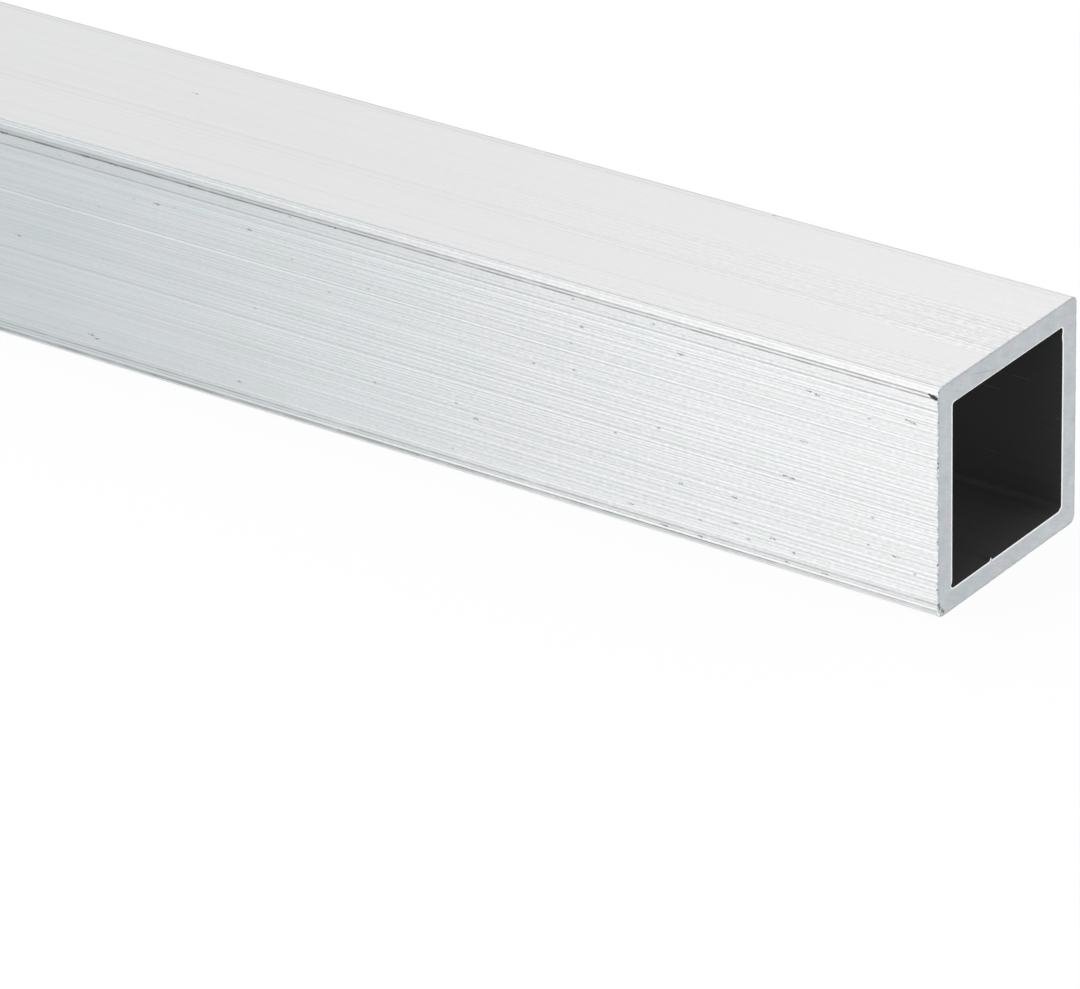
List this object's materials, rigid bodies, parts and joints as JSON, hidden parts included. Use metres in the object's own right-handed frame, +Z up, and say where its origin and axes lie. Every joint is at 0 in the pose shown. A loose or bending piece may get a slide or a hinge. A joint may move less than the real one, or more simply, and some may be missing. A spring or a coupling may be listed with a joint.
{
  "type": "square metal tube",
  "caption": "Straight square metal tube: a hollow bar of even wall with rounded edges and square-cut open ends, for framing, legs and plug-in joints.",
  "frame": {"origin": "middle of the side that the tube lies on, half way along its length", "axes": "+X along the tube towards the end that the picture shows, +Y towards its far side, +Z up out of its top side"},
  "size_m": [0.3, 0.02, 0.02],
  "materials": {
    "mill_finish": "mill finish as extruded, satin, with fine die lines along the length and bright sawn ends"
  },
  "bodies": {
    "root": {"square_tube": "mill_finish"}
  },
  "joints": []
}
